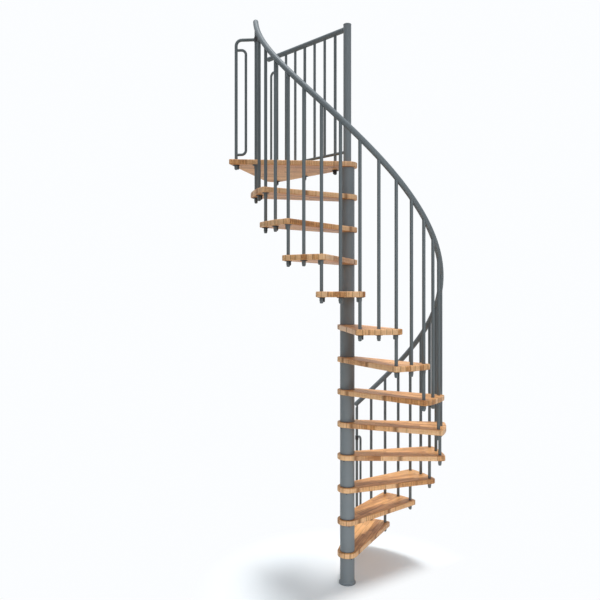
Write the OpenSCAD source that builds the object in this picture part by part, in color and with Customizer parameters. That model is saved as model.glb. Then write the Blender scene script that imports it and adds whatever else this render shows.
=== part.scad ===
// Spiral stair: timber treads and steel sleeves threaded on one round centre post, a helical
// handrail on vertical balusters, and a landing with a straight guard and two closing loops.
// Millimetres, +Z up. The origin is on the column axis, on the floor.
// Climbing turns clockwise seen from above. Angles run from +X towards +Y.

/* [Stair] */
// Height from one tread top to the next
rise = 234; // [180:1:250]
// Turn from one tread to the next, in degrees
turn_angle = 20.8; // [18:0.1:24]
// Direction of the middle of the first tread, in degrees
start_angle = 68.7; // [40:0.1:90]

/* [Column] */
// Outer diameter of the centre post
post_d = 57; // [40:0.5:70]
// Wall of the centre post
post_wall = 4; // [2:0.5:8]
// Height of the centre post above the axis of the guard's top rail
post_over = 29; // [25:1:120]
// Height of the domed cap on the centre post
cap_h = 10; // [6:0.5:20]
// Overhang of the cap round the centre post
cap_lip = 1; // [0.5:0.5:5]
// Outer diameter of the sleeves between the treads
sleeve_d = 105; // [80:0.1:130]
// Wall of the sleeves
sleeve_wall = 4; // [2:0.5:8]
// Reach of the floor flange past the sleeves
flange_reach = 8; // [5:0.1:60]
// Height of the floor flange
flange_h = 18; // [12:1:40]
// Floor thickness under the centre post
flange_floor = 6; // [3:1:8]

/* [Treads] */
// Outer radius of the treads
tread_r = 700; // [550:1:900]
// Thickness of the treads
tread_t = 36; // [25:1:50]
// Radius of the round collar at the column
collar_r = 72; // [60:1:90]
// Distance from a corner baluster to the side of its tread
tread_edge = 33; // [25:1:45]
// Rounding of the outer corners
tread_corner_r = 22; // [8:1:30]
// Rounding of the upper and lower edges of the wood
edge_r = 5; // [2:0.5:7]

/* [Landing] */
// Thickness of the landing
landing_t = 36; // [25:1:50]
// Distance from the outer edge of the treads to the edge at the upper floor
wall_gap = 57; // [20:1:200]
// Direction square to the edge at the upper floor, in degrees
wall_angle = 161.5; // [155:0.1:170]
// Distance from the last baluster to the front edge
front_edge = 18; // [16:1:40]
// Distance from the guard line to the back edge
back_edge = 37; // [28:1:50]
// Rounding of the back corner
back_corner_r = 80; // [20:1:100]
// Rounding of the front tip
tip_corner_r = 10; // [4:1:15]
// Rounding between the collar and the back edge
neck_r = 25; // [10:1:40]

/* [Railing] */
// Distance from the baluster axes to the outer edge of the treads
baluster_inset = 37; // [28:1:60]
// Diameter of the balusters and of the posts
baluster_d = 22; // [16:0.5:26]
// Diameter of the handrail
handrail_d = 38; // [30:0.5:50]
// Height of the handrail axis over the middle of a tread
handrail_h = 1071; // [900:1:1150]
// Length of handrail past the start post
handrail_start = 20; // [12:1:60]
// Length of handrail past the last baluster
handrail_end = 62; // [20:1:90]
// Reach of a baluster foot below its tread
foot_h = 39; // [30:1:60]
// Reach of a post foot below the landing
landing_foot_h = 33; // [30:1:60]
// Rounding of a baluster foot
foot_round = 6; // [2:0.5:8]

/* [Brackets] */
// Diameter of the plate under the wood
plate_d = 48; // [40:1:56]
// Thickness of the plate under the wood
plate_t = 3; // [2:0.5:8]
// Wall of the socket round a baluster, which its foot repeats as a collar
socket_wall = 1.5; // [1:0.5:5]
// Height of the socket below the wood
socket_h = 25; // [10:1:28]
// Width of the ear beside a socket
ear_w = 9; // [9:0.5:16]
// Reach of the ear below the wood
ear_h = 31; // [18:1:50]
// Thickness of the ear
ear_t = 6; // [3:0.5:10]
// Rounding of the lower corner of the ear
ear_corner_r = 8; // [2:0.5:9]

/* [Guard] */
// Direction of the guard along the back edge, in degrees
guard_angle = 135.7; // [130:0.1:140]
// Height of the top rail axis over the landing
guard_h = 975; // [850:1:1100]
// Distance from the column axis to the first guard post
guard_start_reach = 117; // [100:1:130]
// Distance along the guard from its last post to the edge at the upper floor
guard_end_inset = 98.6; // [60:0.1:150]
// Diameter of the infill bars
guard_bar_d = 20; // [10:0.5:20]
// Diameter of the low rail
guard_low_d = 20.5; // [12:0.5:21.5]
// Height of the low rail axis over the landing
guard_low_h = 83; // [50:1:110]
// Reach of the top rail past the edge at the upper floor
guard_overhang = 11; // [0:1:60]

/* [Loops] */
// Diameter of the loop bars
loop_d = 18.5; // [10:0.5:20]
// Distance from a post axis to the loop bar axis
loop_reach = 70; // [50:1:90]
// Bend radius of the loop bars
loop_bend_r = 32; // [20:1:40]
// Height of the lower loop arm over the wood
loop_foot = 38; // [20:1:60]
// Distance from the top rail down to the upper arm of the guard loop
guard_loop_drop = 121; // [60:1:300]
// Distance from the cross arm down to the upper arm of the exit loop
exit_loop_drop = 72; // [60:1:200]
// Height of the upper arm of the start loop over the first tread
start_loop_h = 671; // [500:1:800]
// Swing of the start loop away from the outward direction, in degrees
loop_swing_angle = 20; // [0:1:40]

/* [Exit post] */
// Distance from the exit post to the edge at the upper floor
exit_wall_inset = 33; // [24:1:60]
// Distance from the exit post to the front edge
exit_front_inset = 42; // [26:1:60]
// Distance from the end of the handrail down to the cross arm
exit_arm_drop = 103; // [60:1:300]
// Bend radius of the cross arm
exit_bend_r = 40; // [25:1:44]
// Wall of the clamp rings
clamp_wall = 2.4; // [2:0.1:8]
// Length of the clamp rings
clamp_h = 34; // [20:1:50]

/* [Fits] */
// Clearance between a bore and what passes through it
bore_gap = 0.3; // [0.1:0.1:0.6]
// Clearance between a coped end and the tube that it meets
seat_gap = 0.3; // [0.1:0.1:0.6]
// Overrun of a cut past the face that it opens
overrun = 2; // [1:1:5]

/* [Hidden] */
$fn = 96;
tread_count = 12;
guard_count = 7;
guard_post_step = 3;
handrail_sides = 16;
handrail_steps = 4;
arc_steps = 16;
fillet_steps = 6;
ease_steps = 3;
full_turn = 360;
cap_plug_share = 2;
nose_share = 0.25;
seat_run_share = 4;
timber = "#b9783f";
steel = "#6d7378";
dark_steel = "#33373b";

rail_r = tread_r - baluster_inset;
half_turn = turn_angle / 2;
half_rise = rise / 2;
last_baluster = 2 * tread_count;
landing_top = rise * (tread_count + 1);
landing_under = landing_top - landing_t;
post_top = landing_top + guard_h + post_over;
baluster_step = rail_r * half_turn * PI / 180;
slope = atan(half_rise / baluster_step);
baluster_bore_d = baluster_d + 2 * bore_gap;
post_bore_d = post_d + 2 * bore_gap;
socket_d = baluster_bore_d + 2 * socket_wall;
foot_bore_d = socket_d + 2 * bore_gap;
clamp_d = baluster_bore_d + 2 * clamp_wall;
rail_round = handrail_d * nose_share;
wall_reach = tread_r + wall_gap;
front_normal = baluster_angle(last_baluster) - asin((collar_r - front_edge) / rail_r) + 90;
back_normal = guard_angle - 90;
guard_wall = wall_reach / cos(wall_angle - guard_angle);
guard_last = guard_wall - guard_end_inset;
guard_pitch = (guard_last - guard_start_reach) / (guard_count - 1);
guard_posts = [for (i = [0 : guard_post_step : guard_count - 1]) guard_start_reach + i * guard_pitch];
exit_post = meet(wall_angle, wall_reach - exit_wall_inset, front_normal, collar_r - exit_front_inset);
exit_run = rail_point(last_baluster) - exit_post;
exit_angle = atan2(exit_run.y, exit_run.x);
exit_arm_z = handrail_z(last_baluster) - exit_arm_drop;
exit_seam = exit_arm_z - exit_bend_r;

TREADS = [for (n = [1 : tread_count]) str("tread_", n < 10 ? "0" : "", n)];

// Balusters are counted along the handrail in half treads: 0 is the start post at the leading
// corner of the first tread, odd counts stand at a tread's middle, even counts at a shared corner.
function baluster_angle(j) = start_angle + half_turn - j * half_turn;
function rail_point(j) = rail_r * [cos(baluster_angle(j)), sin(baluster_angle(j))];
function handrail_z(j) = half_rise * (j + 1) + handrail_h;
function tread_angle(n) = start_angle - (n - 1) * turn_angle;
function tread_top(n) = n * rise;
function under_wood(n) = n > tread_count ? landing_under : tread_top(n) - tread_t;
function foot_tread(j) = max(1, ceil(j / 2));
function foot_z(j) = under_wood(foot_tread(j)) - foot_h;

// Points of an arc, and the crossing of two lines given by their normals and distances.
function arc(centre, r, from, to, steps, skip = 0) =
    [for (i = [skip : steps]) let (a = from + (to - from) * i / steps) centre + r * [cos(a), sin(a)]];
function meet(a, d, b, e) =
    [d * sin(b) - e * sin(a), e * cos(a) - d * cos(b)] / sin(b - a);
// Round corner between two lines of an outline that runs counter-clockwise.
function corner(a, d, b, e, r) = arc(meet(a, d - r, b, e - r), r, a, b, fillet_steps);

// Plan of a tread along +X, drawn in by an inset: collar, sides tangent to it, round outer edge.
function tread_outline(inset) =
    let (side = half_turn - asin((collar_r - tread_edge) / rail_r) + 90)
    let (hub = side - acos((collar_r - tread_corner_r) / (tread_r - tread_corner_r)))
    let (pivot = (tread_r - tread_corner_r) * [cos(hub), sin(hub)], round = tread_corner_r - inset)
    concat(
        arc([0, 0], collar_r - inset, side, full_turn - side, arc_steps),
        arc([pivot.x, -pivot.y], round, -side, -hub, fillet_steps),
        arc([0, 0], tread_r - inset, -hub, hub, arc_steps, 1),
        arc(pivot, round, hub, side, fillet_steps, 1)
    );

// Plan of the landing, drawn in by an inset: collar, neck, back edge, edge at the upper floor,
// tip and front edge.
function landing_outline(inset) =
    let (swing = back_normal + acos((back_edge + neck_r) / (collar_r + neck_r)))
    let (neck = (collar_r + neck_r) * [cos(swing), sin(swing)])
    let (front = collar_r - inset, back = back_edge - inset, wall = wall_reach - inset)
    concat(
        arc([0, 0], front, front_normal, swing, arc_steps),
        arc(neck, neck_r + inset, swing + 180, back_normal + 180, fillet_steps, 1),
        corner(back_normal, back, wall_angle, wall, back_corner_r - inset),
        corner(wall_angle - full_turn, wall, front_normal, front, tip_corner_r - inset)
    );

// Wooden plate with eased edges: rings of one outline, drawn in towards the lower and upper face.
module eased_plate(t, outline) {
    low = [for (i = [0 : ease_steps]) let (a = 90 * i / ease_steps) edge_r * [1 - sin(a), 1 - cos(a)]];
    high = [for (i = [ease_steps : -1 : 0]) [low[i].x, t - low[i].y]];
    rings = [for (level = concat(low, high)) [for (p = outline(level.x)) [p.x, p.y, level.y]]];
    m = len(rings[0]);
    last = len(rings) - 1;
    sides = [for (k = [0 : last - 1], i = [0 : m - 1])
        let (a = k * m + i, b = k * m + (i + 1) % m) [a, a + m, b + m, b]];
    caps = [[for (i = [0 : m - 1]) i], [for (i = [m - 1 : -1 : 0]) last * m + i]];
    polyhedron(points = [for (ring = rings) each ring], faces = concat(sides, caps));
}

// Round bar that stands on z = 0, with its lower edge rounded.
module rod(d, h, round) {
    rotate_extrude() polygon(concat(
        [[0, 0]],
        arc([d / 2 - round, round], round, -90, 0, ease_steps),
        [[d / 2, h], [0, h]]
    ));
}

// Baluster or post on its foot, with a collar that ends under the wood, a reach over the foot.
module footed_bar(h, reach) {
    rod(baluster_d, h, foot_round);
    translate([0, 0, reach - socket_h]) rod(socket_d, socket_h, socket_wall);
}

module tube(d, wall, h) {
    difference() {
        cylinder(d = d, h = h);
        translate([0, 0, -overrun]) cylinder(d = d - 2 * wall, h = h + 2 * overrun);
    }
}

module at_baluster(j, z = 0) {
    rotate(baluster_angle(j)) translate([rail_r, 0, z]) children();
}

// A vertical hole through the wood for a baluster or a post.
module baluster_hole(t) {
    translate([0, 0, -overrun]) cylinder(d = baluster_bore_d, h = t + 2 * overrun);
}

module post_hole(t) {
    translate([0, 0, -overrun]) cylinder(d = post_bore_d, h = t + 2 * overrun);
}

// The straight cylinder that the handrail follows at one baluster, for the coped top.
module handrail_seat() {
    rotate([90 - slope, 0, 0])
        cylinder(d = handrail_d + 2 * seat_gap, h = seat_run_share * handrail_d, center = true);
}

module baluster(j) {
    length = handrail_z(j) - foot_z(j);
    at_baluster(j, foot_z(j)) difference() {
        footed_bar(length, foot_h);
        translate([0, 0, length]) handrail_seat();
    }
}

// Bracket below the wood, with its plate against z = 0 and an ear towards -X. It is bored for a
// collared foot, or has a socket for a bar that goes on down.
module bracket(socketed) {
    ear_reach = socket_d / 2 + ear_w;
    depth = max(ear_h, socket_h) + overrun;
    bore_d = socketed ? baluster_bore_d : foot_bore_d;
    difference() {
        union() {
            translate([0, 0, -plate_t]) cylinder(d = plate_d, h = plate_t);
            if (socketed) translate([0, 0, -socket_h]) cylinder(d = socket_d, h = socket_h);
            translate([0, ear_t / 2, 0]) rotate([90, 0, 0]) linear_extrude(ear_t) polygon(concat(
                [[0, -plate_t / 2], [-ear_reach, -plate_t / 2]],
                arc([ear_corner_r - ear_reach, ear_corner_r - ear_h], ear_corner_r, 180, 270, fillet_steps),
                [[0, -ear_h]]
            ));
        }
        translate([0, 0, -depth]) cylinder(d = bore_d, h = depth + overrun);
    }
}

// Closing loop on a post at the origin: two arms and a bar along +X, from the lower arm up.
module loop(h, seat_d) {
    bar_h = h - 2 * loop_bend_r;
    arm = loop_reach - loop_bend_r;
    difference() {
        union() {
            for (z = [0, h]) translate([0, 0, z]) rotate([0, 90, 0]) cylinder(d = loop_d, h = arm);
            translate([loop_reach, 0, loop_bend_r]) cylinder(d = loop_d, h = bar_h);
            translate([arm, 0, loop_bend_r]) rotate([90, 0, 0]) loop_bend(-90);
            translate([arm, 0, h - loop_bend_r]) rotate([90, 0, 0]) loop_bend(90);
        }
        translate([0, 0, -loop_d]) cylinder(d = seat_d + 2 * seat_gap, h = h + 2 * loop_d);
    }
}

module loop_bend(sweep) {
    rotate_extrude(angle = sweep) translate([loop_bend_r, 0]) circle(d = loop_d);
}

module base_flange() {
    foot_r = sleeve_d / 2 + flange_reach;
    color(steel) rotate_extrude() polygon(concat(
        [[0, 0], [foot_r, 0]],
        arc([foot_r, flange_h], flange_reach, 270, 180, fillet_steps),
        [[post_bore_d / 2, flange_h], [post_bore_d / 2, flange_floor], [0, flange_floor]]
    ));
}

module centre_post() {
    color(steel) translate([0, 0, flange_floor]) tube(post_d, post_wall, post_top - flange_floor);
}

module post_cap() {
    plug_h = cap_h * cap_plug_share;
    dome_r = post_d;
    color(steel) translate([0, 0, post_top]) {
        intersection() {
            cylinder(d = post_d + 2 * cap_lip, h = cap_h);
            translate([0, 0, cap_h - dome_r]) sphere(r = dome_r);
        }
        translate([0, 0, -plug_h]) cylinder(d = post_d - 2 * post_wall - 2 * bore_gap, h = plug_h);
    }
}

module column_sleeves() {
    color(steel) for (n = [0 : tread_count]) {
        foot = n == 0 ? flange_h : tread_top(n);
        translate([0, 0, foot]) tube(sleeve_d, sleeve_wall, under_wood(n + 1) - foot);
    }
}

module tread(n) {
    color(timber) rotate(tread_angle(n)) translate([0, 0, tread_top(n) - tread_t]) difference() {
        eased_plate(tread_t, function(inset) tread_outline(inset));
        post_hole(tread_t);
        for (side = [-1, 0, 1]) rotate(side * half_turn) translate([rail_r, 0, 0]) baluster_hole(tread_t);
    }
}

module landing_platform() {
    color(timber) translate([0, 0, landing_under]) difference() {
        eased_plate(landing_t, function(inset) landing_outline(inset));
        post_hole(landing_t);
        at_baluster(last_baluster) baluster_hole(landing_t);
        translate(exit_post) baluster_hole(landing_t);
        rotate(guard_angle) for (t = guard_posts) translate([t, 0, 0]) baluster_hole(landing_t);
    }
}

// Rings of the handrail: a helix, with the tube closing to a rounded nose at both ends.
function handrail_ring(j, shift, r) =
    let (a = baluster_angle(j), out = [cos(a), sin(a), 0], along = [sin(a), -cos(a), 0])
    let (forward = cos(slope) * along + [0, 0, sin(slope)], up = [0, 0, cos(slope)] - sin(slope) * along)
    let (centre = rail_r * out + [0, 0, handrail_z(j)] + shift * forward)
    [for (i = [0 : handrail_sides - 1]) let (b = full_turn * i / handrail_sides)
        centre + r * (cos(b) * out + sin(b) * up)];

function handrail_nose(j, shift, a) =
    handrail_ring(j, shift * rail_round * sin(a), handrail_d / 2 - rail_round * (1 - cos(a)));

function handrail_points() =
    let (run = baluster_step / cos(slope))
    let (from = (rail_round - handrail_start) / run, to = last_baluster + (handrail_end - rail_round) / run)
    let (count = ceil((to - from) * handrail_steps))
    let (nose = [for (i = [1 : ease_steps]) 90 * i / (ease_steps + 1)])
    concat(
        [for (i = [ease_steps - 1 : -1 : 0]) handrail_nose(from, -1, nose[i])],
        [for (i = [0 : count]) handrail_ring(from + (to - from) * i / count, 0, handrail_d / 2)],
        [for (a = nose) handrail_nose(to, 1, a)]
    );

module handrail() {
    rings = handrail_points();
    m = handrail_sides;
    last = len(rings) - 1;
    sides = [for (k = [0 : last - 1], i = [0 : m - 1])
        let (a = k * m + i, b = k * m + (i + 1) % m) each [[a, b, a + m], [b, b + m, a + m]]];
    caps = [[for (i = [m - 1 : -1 : 0]) i], [for (i = [0 : m - 1]) last * m + i]];
    color(steel) polyhedron(points = [for (ring = rings) each ring], faces = concat(sides, caps));
}

module start_post() {
    color(steel) baluster(0);
}

module middle_balusters() {
    color(steel) for (j = [1 : 2 : last_baluster - 1]) baluster(j);
}

module corner_balusters() {
    color(steel) for (j = [2 : 2 : last_baluster]) baluster(j);
}

module start_bracket() {
    color(dark_steel) at_baluster(0, under_wood(1)) rotate(90) bracket(false);
}

module middle_brackets() {
    color(dark_steel) for (j = [1 : 2 : last_baluster - 1])
        at_baluster(j, under_wood(foot_tread(j))) bracket(false);
}

module corner_foot_brackets() {
    color(dark_steel) for (j = [2 : 2 : last_baluster])
        at_baluster(j, under_wood(foot_tread(j))) rotate(-90) bracket(false);
}

module corner_ring_brackets() {
    color(steel) for (j = [2 : 2 : last_baluster])
        at_baluster(j, under_wood(foot_tread(j) + 1)) rotate(90) bracket(true);
}

module start_loop() {
    color(steel) translate([rail_point(0).x, rail_point(0).y, tread_top(1) + loop_foot])
        rotate(baluster_angle(0) - loop_swing_angle) loop(start_loop_h - loop_foot, clamp_d);
}

module start_clamps() {
    color(dark_steel) for (h = [loop_foot, start_loop_h])
        at_baluster(0, tread_top(1) + h - clamp_h / 2) tube(clamp_d, clamp_wall, clamp_h);
}

module guard_at(t, z) {
    rotate(guard_angle) translate([t, 0, landing_top + z]) children();
}

module guard_panel() {
    color(steel) difference() {
        union() {
            for (t = guard_posts) guard_at(t, -landing_t - landing_foot_h)
                rod(baluster_d, guard_h + landing_t + landing_foot_h, foot_round);
            for (i = [0 : guard_count - 1]) if (i % guard_post_step > 0)
                guard_at(guard_start_reach + i * guard_pitch, guard_low_h)
                    cylinder(d = guard_bar_d, h = guard_h - guard_low_h);
            guard_at(0, guard_low_h) rotate([0, 90, 0]) cylinder(d = guard_low_d, h = guard_last);
        }
        guard_at(0, guard_h) rotate([0, 90, 0])
            cylinder(d = handrail_d + 2 * seat_gap, h = guard_wall + guard_overhang + overrun);
        cylinder(d = post_d + 2 * seat_gap, h = post_top);
    }
}

module guard_top_rail() {
    reach = guard_wall + guard_overhang;
    color(steel) difference() {
        guard_at(reach, guard_h) rotate([0, -90, 0]) rod(handrail_d, reach, rail_round);
        cylinder(d = post_d + 2 * seat_gap, h = post_top);
    }
}

module guard_brackets() {
    color(dark_steel) for (t = guard_posts) guard_at(t, -landing_t) rotate(-90) bracket(true);
}

module guard_loop() {
    color(steel) guard_at(guard_last, loop_foot)
        loop(guard_h - guard_loop_drop - loop_foot, baluster_d);
}

module at_exit(z) {
    translate([exit_post.x, exit_post.y, z]) rotate(exit_angle) children();
}

module exit_post() {
    foot = landing_under - landing_foot_h;
    color(steel) at_exit(foot) footed_bar(exit_seam - foot, landing_foot_h);
}

module exit_arm() {
    reach = norm(exit_run);
    color(steel) difference() {
        at_exit(exit_seam) {
            translate([exit_bend_r, 0, 0]) rotate([90, 0, 0]) rotate([0, 0, 90])
                rotate_extrude(angle = 90) translate([exit_bend_r, 0]) circle(d = baluster_d);
            translate([exit_bend_r, 0, exit_bend_r]) rotate([0, 90, 0])
                cylinder(d = baluster_d, h = reach - exit_bend_r);
        }
        at_baluster(last_baluster, exit_seam) cylinder(d = clamp_d + 2 * seat_gap, h = 2 * exit_bend_r);
    }
}

module exit_clamp() {
    color(dark_steel) at_baluster(last_baluster, exit_arm_z - clamp_h / 2) tube(clamp_d, clamp_wall, clamp_h);
}

module exit_loop() {
    foot = landing_top + loop_foot;
    color(steel) at_exit(foot) loop(exit_arm_z - exit_loop_drop - foot, baluster_d);
}

module exit_bracket() {
    color(dark_steel) at_exit(landing_under) rotate(180) bracket(false);
}

base_flange();
centre_post();
post_cap();
column_sleeves();
for (n = [1 : tread_count]) tread(n);
landing_platform();
handrail();
start_post();
middle_balusters();
corner_balusters();
start_bracket();
middle_brackets();
corner_foot_brackets();
corner_ring_brackets();
start_loop();
start_clamps();
guard_panel();
guard_top_rail();
guard_brackets();
guard_loop();
exit_post();
exit_arm();
exit_clamp();
exit_loop();
exit_bracket();
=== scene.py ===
"""Looks of a spiral stair: timber treads and landing, helical handrail, screws, paint and studio.

Metres, +Z up. The origin is on the column axis, on the floor. Climbing turns clockwise seen from
above. Angles run from +X towards +Y, in degrees unless a name says otherwise.
"""

import logging
import math
from dataclasses import dataclass
from enum import Enum
from typing import Callable, Mapping, Sequence, Union

import bmesh
import bpy
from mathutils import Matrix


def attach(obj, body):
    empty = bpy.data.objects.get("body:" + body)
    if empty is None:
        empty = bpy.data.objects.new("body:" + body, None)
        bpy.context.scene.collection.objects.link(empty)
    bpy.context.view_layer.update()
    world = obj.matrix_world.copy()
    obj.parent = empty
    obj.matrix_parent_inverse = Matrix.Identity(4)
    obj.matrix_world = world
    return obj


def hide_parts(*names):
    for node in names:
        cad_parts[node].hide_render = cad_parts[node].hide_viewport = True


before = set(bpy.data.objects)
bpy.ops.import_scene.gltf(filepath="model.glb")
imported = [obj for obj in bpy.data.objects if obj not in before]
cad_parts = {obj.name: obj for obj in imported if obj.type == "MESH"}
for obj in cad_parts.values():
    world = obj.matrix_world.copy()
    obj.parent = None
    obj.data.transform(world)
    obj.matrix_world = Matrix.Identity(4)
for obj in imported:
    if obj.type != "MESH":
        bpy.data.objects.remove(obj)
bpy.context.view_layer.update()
LOG = logging.getLogger("spiral_stair")

Point = tuple[float, float]
Span = tuple[float, float]
Triple = tuple[float, float, float]
Colour = tuple[float, float, float]
Key = Union[int, str]
Operand = Union["Wire", float, int, bool, str, Sequence[float]]
Outline = Callable[[float], list[Point]]

BODY = "root"
TIMBER_PLACE = "timber_place"
PIECE_NUMBER = "piece_number"
HEXAGON_SIDE = 60.0
WHOLE_MARGIN = 0.001


class Slot(Enum):
    """Material slots of the record."""

    COLUMN = "column_paint"
    WOOD = "tread_wood"
    HANDRAIL = "handrail_paint"
    BALUSTER = "baluster_paint"
    BRACKET = "bracket_paint"


class Facing(Enum):
    """Turn about X and Y, in radians, that points a screw head along a direction."""

    OUTWARD = (0.0, math.pi / 2)
    DOWN = (math.pi, 0.0)


def rgba(colour: Colour) -> tuple[float, float, float, float]:
    """An opaque colour for a node socket."""
    return (*colour, 1.0)


def polar(radius: float, angle: float) -> Point:
    """The point at a distance and an angle from the column axis."""
    return (radius * math.cos(math.radians(angle)), radius * math.sin(math.radians(angle)))


def arc(
    centre: Point, radius: float, start: float, end: float, steps: int, skip: int = 0
) -> list[Point]:
    """Points along an arc.

    Args:
        centre: Centre of the arc.
        radius: Radius of the arc.
        start: Angle of its first point.
        end: Angle of its last point.
        steps: Number of equal steps.
        skip: Number of points left out at the start.

    Returns:
        The points in order.
    """
    points = []
    for step in range(skip, steps + 1):
        x, y = polar(radius, start + (end - start) * step / steps)
        points.append((centre[0] + x, centre[1] + y))
    return points


def meet(angle_a: float, reach_a: float, angle_b: float, reach_b: float) -> Point:
    """Crossing of two lines.

    Args:
        angle_a: Direction square to the first line.
        reach_a: Distance of the first line from the column axis.
        angle_b: Direction square to the second line.
        reach_b: Distance of the second line from the column axis.

    Returns:
        The point on both lines.
    """
    a, b = math.radians(angle_a), math.radians(angle_b)
    x = reach_a * math.sin(b) - reach_b * math.sin(a)
    y = reach_b * math.cos(a) - reach_a * math.cos(b)
    return (x / math.sin(b - a), y / math.sin(b - a))


def mesh_from(bm: bmesh.types.BMesh, name: str) -> bpy.types.Mesh:
    """Ends a mesh under construction.

    Args:
        bm: The mesh under construction, which is freed.
        name: Name of the result.

    Returns:
        The mesh as data.
    """
    mesh = bpy.data.meshes.new(name)
    bm.to_mesh(mesh)
    bm.free()
    return mesh


def add_object(name: str, data: bpy.types.ID) -> bpy.types.Object:
    """Adds an object to the scene.

    Args:
        name: Name of the object.
        data: Its mesh, lamp or camera.

    Returns:
        The object, at the origin.
    """
    made = bpy.data.objects.new(name, data)
    bpy.context.scene.collection.objects.link(made)
    return made


class Wire:
    """An output socket of a node, with the sums that expressions need."""

    def __init__(self, bench: "Bench", socket: bpy.types.NodeSocket) -> None:
        """Keeps the socket and the tree that it is in."""
        self.bench = bench
        self.socket = socket

    def other(self, name: str) -> "Wire":
        """Another output of the same node."""
        return Wire(self.bench, self.socket.node.outputs[name])

    def __add__(self, term: Operand) -> "Wire":
        """This plus a term."""
        return self.bench.math("ADD", self, term)

    def __radd__(self, term: Operand) -> "Wire":
        """A term plus this."""
        return self.bench.math("ADD", term, self)

    def __sub__(self, term: Operand) -> "Wire":
        """This minus a term."""
        return self.bench.math("SUBTRACT", self, term)

    def __rsub__(self, term: Operand) -> "Wire":
        """A term minus this."""
        return self.bench.math("SUBTRACT", term, self)

    def __mul__(self, term: Operand) -> "Wire":
        """This times a term."""
        return self.bench.math("MULTIPLY", self, term)

    def __rmul__(self, term: Operand) -> "Wire":
        """A term times this."""
        return self.bench.math("MULTIPLY", term, self)

    def __truediv__(self, term: Operand) -> "Wire":
        """This over a term."""
        return self.bench.math("DIVIDE", self, term)

    def __rtruediv__(self, term: Operand) -> "Wire":
        """A term over this."""
        return self.bench.math("DIVIDE", term, self)

    def __mod__(self, term: Operand) -> "Wire":
        """What is left of this after whole terms."""
        return self.bench.math("FLOORED_MODULO", self, term)

    def __abs__(self) -> "Wire":
        """This without its sign."""
        return self.bench.math("ABSOLUTE", self)

    def __floor__(self) -> "Wire":
        """The whole number below this."""
        return self.bench.math("FLOOR", self)

    def sin(self) -> "Wire":
        """Sine of this, in radians."""
        return self.bench.math("SINE", self)

    def cos(self) -> "Wire":
        """Cosine of this, in radians."""
        return self.bench.math("COSINE", self)

    def most(self, term: Operand) -> "Wire":
        """The larger of this and a term."""
        return self.bench.math("MAXIMUM", self, term)

    def within(self, low: Operand, high: Operand) -> "Wire":
        """This held between two limits."""
        return self.bench.math("MINIMUM", self.most(low), high)

    def fade(self, low: Operand, high: Operand) -> "Wire":
        """Smooth rise from 0 at the low value to 1 at the high one."""
        limits = {"Value": self, "From Min": low, "From Max": high}
        return self.bench.node("ShaderNodeMapRange", {"interpolation_type": "SMOOTHSTEP"}, limits)


class Bench:
    """A node tree under construction."""

    def __init__(self, tree: bpy.types.NodeTree) -> None:
        """Keeps the tree."""
        self.tree = tree

    @staticmethod
    def pick(sockets: Sequence[bpy.types.NodeSocket], key: Key) -> bpy.types.NodeSocket:
        """The socket with a number, an identifier or a name."""
        named = (s for s in sockets if key in (s.identifier, s.name))
        return sockets[key] if isinstance(key, int) else next(named)

    def node(
        self,
        kind: str,
        settings: Mapping[str, object] | None = None,
        sockets: Mapping[Key, Operand] | None = None,
        out: Key = 0,
    ) -> Wire:
        """Adds a node.

        Args:
            kind: Type name of the node.
            settings: Its properties, set first. Stops are a ramp's pairs of place and colour.
            sockets: Values or wires for its inputs.
            out: The output that is wanted.

        Returns:
            That output as a wire.
        """
        made = self.tree.nodes.new(kind)
        for name, value in (settings or {}).items():
            if name == "stops":
                self.set_stops(made.color_ramp, value)
            else:
                setattr(made, name, value)
        for key, value in (sockets or {}).items():
            target = self.pick(made.inputs, key)
            if isinstance(value, Wire):
                self.tree.links.new(value.socket, target)
            else:
                target.default_value = value
        return Wire(self, self.pick(made.outputs, out))

    @staticmethod
    def set_stops(ramp: bpy.types.ColorRamp, stops: Sequence[tuple[float, Colour]]) -> None:
        """Gives a ramp its stops.

        Args:
            ramp: The ramp of a Color Ramp node.
            stops: Pairs of place and colour, lowest first.
        """
        while len(ramp.elements) < len(stops):
            ramp.elements.new(1.0)
        for element, (place, colour) in zip(ramp.elements, stops):
            element.position = place
            element.color = rgba(colour)

    def math(self, operation: str, *values: Operand) -> Wire:
        """Adds a Math node."""
        return self.node("ShaderNodeMath", {"operation": operation}, dict(enumerate(values)))

    def vector(self, x: Operand, y: Operand, z: Operand) -> Wire:
        """Joins three values into a vector."""
        return self.node("ShaderNodeCombineXYZ", sockets={"X": x, "Y": y, "Z": z})

    def blend(self, share: Operand, low: Operand, high: Operand) -> Wire:
        """Mixes two colours by a share of the second."""
        sockets = {"Factor_Float": share, "A_Color": low, "B_Color": high}
        return self.node("ShaderNodeMix", {"data_type": "RGBA"}, sockets, "Result_Color")

    def cloud(self, place: Wire, scale: float, detail: float) -> Wire:
        """Soft noise from 0 to 1."""
        sockets = {"Vector": place, "Scale": scale, "Detail": detail}
        return self.node("ShaderNodeTexNoise", {"noise_dimensions": "3D"}, sockets)

    def chance(self, x: Operand, y: Operand, z: Operand) -> Wire:
        """One even random value from 0 to 1 for each whole place."""
        place = self.vector(x, y, z)
        return self.node("ShaderNodeTexWhiteNoise", {"noise_dimensions": "3D"}, {"Vector": place})


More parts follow.
